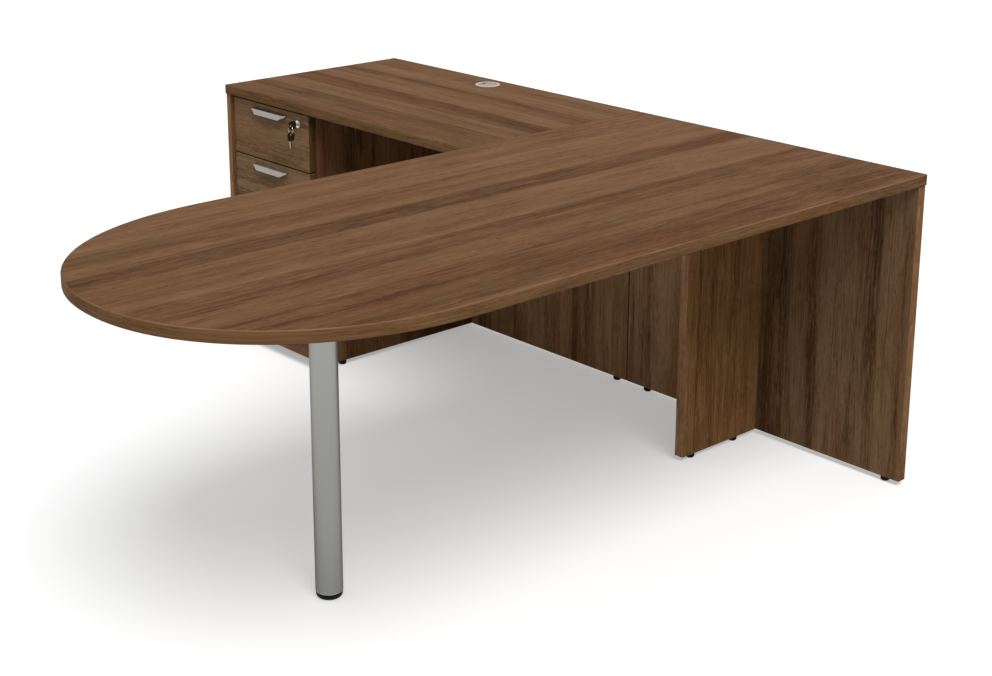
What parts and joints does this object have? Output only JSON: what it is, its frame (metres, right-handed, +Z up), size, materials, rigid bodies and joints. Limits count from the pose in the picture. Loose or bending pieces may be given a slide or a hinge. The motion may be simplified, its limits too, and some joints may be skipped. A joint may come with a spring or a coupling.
{
  "type": "l-shaped desk",
  "caption": "Walnut-look L-shaped desk: round-ended main top on a post leg and panels, return top over a pedestal with lockable drawers on runners, and a cable grommet.",
  "frame": {"origin": "on the floor, under the middle of the box round the desk", "axes": "+X towards the square end of the main top, +Y towards the far end of the return, +Z up"},
  "size_m": [1.85, 1.89, 0.7525],
  "materials": {
    "walnut_top": "walnut-look laminate with long plank-like grain, satin",
    "walnut_band": "matching edge band, satin",
    "walnut_panel": "walnut-look laminated panel, satin",
    "drawer_steel": "powder coated light grey",
    "satin_metal": "satin grey",
    "bright_metal": "satin nickel",
    "zinc_steel": "zinc plated",
    "grey_plastic": "warm grey, satin",
    "tan_plastic": "tan, satin",
    "black_plastic": "black"
  },
  "bodies": {
    "desk": {"main_top": "walnut_top", "return_top": "walnut_top", "main_top_edge_band": "walnut_band", "return_top_edge_band": "walnut_band", "gable_panel": "walnut_panel", "support_panel": "walnut_panel", "return_back_panel": "walnut_panel", "return_end_panel": "walnut_panel", "pedestal_side_panel": "walnut_panel", "pedestal_bottom_panel": "walnut_panel", "pedestal_front_rail": "walnut_panel", "leg_post": "satin_metal", "gable_bracket": "zinc_steel", "support_bracket": "zinc_steel", "return_bracket": "zinc_steel", "joining_plate_front": "zinc_steel", "joining_plate_back": "zinc_steel", "leg_mounting_plate": "zinc_steel", "top_drawer_cabinet_runner_near": "zinc_steel", "top_drawer_cabinet_runner_far": "zinc_steel", "middle_drawer_cabinet_runner_near": "zinc_steel", "middle_drawer_cabinet_runner_far": "zinc_steel", "file_drawer_cabinet_runner_near": "zinc_steel", "file_drawer_cabinet_runner_far": "zinc_steel", "grommet_liner": "grey_plastic", "cam_fitting_lower": "tan_plastic", "cam_fitting_middle": "tan_plastic", "cam_fitting_upper": "tan_plastic", "gable_glide_near": "black_plastic", "gable_glide_far": "black_plastic", "support_glide_outer": "black_plastic", "support_glide_inner": "black_plastic", "back_glide_near": "black_plastic", "back_glide_far": "black_plastic", "end_glide": "black_plastic", "pedestal_glide": "black_plastic", "leg_foot_insert": "black_plastic"},
    "top_drawer": {"top_drawer_front": "walnut_panel", "top_drawer_box": "drawer_steel", "top_drawer_pull": "bright_metal", "lock_housing": "bright_metal"},
    "middle_drawer": {"middle_drawer_front": "walnut_panel", "middle_drawer_box": "drawer_steel", "middle_drawer_pull": "bright_metal"},
    "file_drawer": {"file_drawer_front": "walnut_panel", "file_drawer_box": "drawer_steel", "file_drawer_pull": "bright_metal"},
    "top_drawer_runners": {"top_drawer_intermediate_runner_near": "zinc_steel", "top_drawer_intermediate_runner_far": "zinc_steel"},
    "middle_drawer_runners": {"middle_drawer_intermediate_runner_near": "zinc_steel", "middle_drawer_intermediate_runner_far": "zinc_steel"},
    "file_drawer_runners": {"file_drawer_intermediate_runner_near": "zinc_steel", "file_drawer_intermediate_runner_far": "zinc_steel"},
    "lock_plug": {"lock_plug": "bright_metal", "lock_cam": "zinc_steel", "key_in_lock": "black_plastic"},
    "key_ring": {"key_ring": "bright_metal"},
    "spare_key": {"spare_key": "black_plastic"},
    "grommet_cap": {"grommet_cap": "grey_plastic"},
    "leg_foot": {"leg_foot": "black_plastic"}
  },
  "joints": [
    {"name": "top_drawer_slide", "type": "slide", "parent": "desk", "child": "top_drawer", "axis": [-1, 0, 0], "range_m": [0, 0.45]},
    {"name": "middle_drawer_slide", "type": "slide", "parent": "desk", "child": "middle_drawer", "axis": [-1, 0, 0], "range_m": [0, 0.45]},
    {"name": "file_drawer_slide", "type": "slide", "parent": "desk", "child": "file_drawer", "axis": [-1, 0, 0], "range_m": [0, 0.45]},
    {"name": "top_drawer_runner_slide", "type": "slide", "parent": "desk", "child": "top_drawer_runners", "axis": [-1, 0, 0], "range_m": [0, 0.225]},
    {"name": "middle_drawer_runner_slide", "type": "slide", "parent": "desk", "child": "middle_drawer_runners", "axis": [-1, 0, 0], "range_m": [0, 0.225]},
    {"name": "file_drawer_runner_slide", "type": "slide", "parent": "desk", "child": "file_drawer_runners", "axis": [-1, 0, 0], "range_m": [0, 0.225]},
    {"name": "lock_turn", "type": "hinge", "parent": "top_drawer", "child": "lock_plug", "pos_m": [0.3252, 0.617, 0.69], "axis": [1, 0, 0], "range_deg": [0, 90]},
    {"name": "key_ring_swing", "type": "hinge", "parent": "lock_plug", "child": "key_ring", "pos_m": [0.3032, 0.617, 0.6879], "axis": [0, 1, 0], "range_deg": [-12, 25]},
    {"name": "spare_key_swing", "type": "hinge", "parent": "key_ring", "child": "spare_key", "pos_m": [0.3032, 0.617, 0.6669], "axis": [0, 1, 0], "range_deg": [-10, 30]},
    {"name": "grommet_cap_turn", "type": "hinge", "parent": "desk", "child": "grommet_cap", "pos_m": [0.86, 0.453, 0.7506], "axis": [0, 0, 1], "continuous": true},
    {"name": "leg_foot_turn", "type": "hinge", "parent": "desk", "child": "leg_foot", "pos_m": [-0.412, -0.48, 0], "axis": [0, 0, 1], "continuous": true}
  ],
  "couplings": [
    {"joint": "top_drawer_runner_slide", "follows": "top_drawer_slide", "ratio": 0.5},
    {"joint": "middle_drawer_runner_slide", "follows": "middle_drawer_slide", "ratio": 0.5},
    {"joint": "file_drawer_runner_slide", "follows": "file_drawer_slide", "ratio": 0.5}
  ]
}
